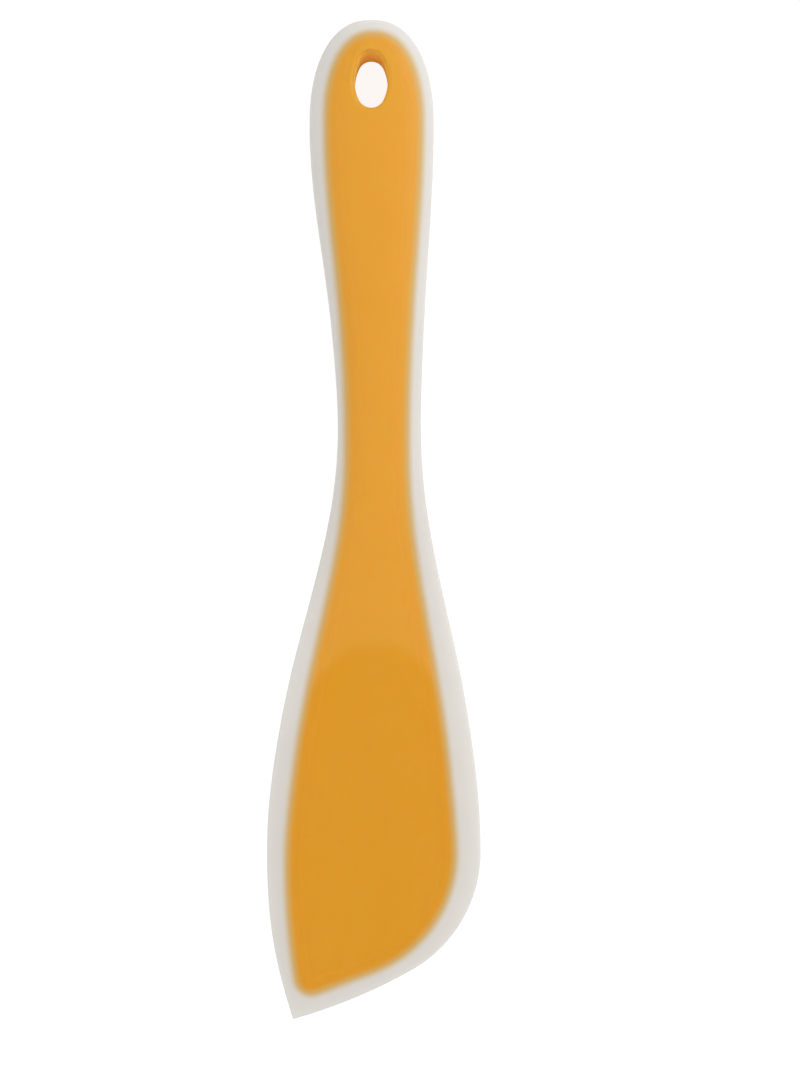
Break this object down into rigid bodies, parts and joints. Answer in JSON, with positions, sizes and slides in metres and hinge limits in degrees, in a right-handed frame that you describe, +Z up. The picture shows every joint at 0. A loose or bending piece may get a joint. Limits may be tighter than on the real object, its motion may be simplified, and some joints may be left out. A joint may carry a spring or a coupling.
{
  "type": "silicone spatula",
  "caption": "Kitchen spatula: orange moulded core in a frosted silicone skin, oval handle with a hanging hole, flat blade with a slanted thin working edge and a sharp corner.",
  "frame": {"origin": "on the resting surface, below the middle of the tool's outer box", "axes": "+Z up, through the blade's thickness; +Y along the tool, from the blade towards the hanging hole; +X to the right, seen from above with the handle away from the viewer"},
  "size_m": [0.0612, 0.285, 0.0135],
  "materials": {
    "orange_nylon": "moulded, matte, warm orange",
    "frosted_silicone": "frosted, translucent, fine satin mould texture"
  },
  "bodies": {
    "root": {"nylon_core": "orange_nylon", "silicone_skin": "frosted_silicone"}
  },
  "joints": []
}
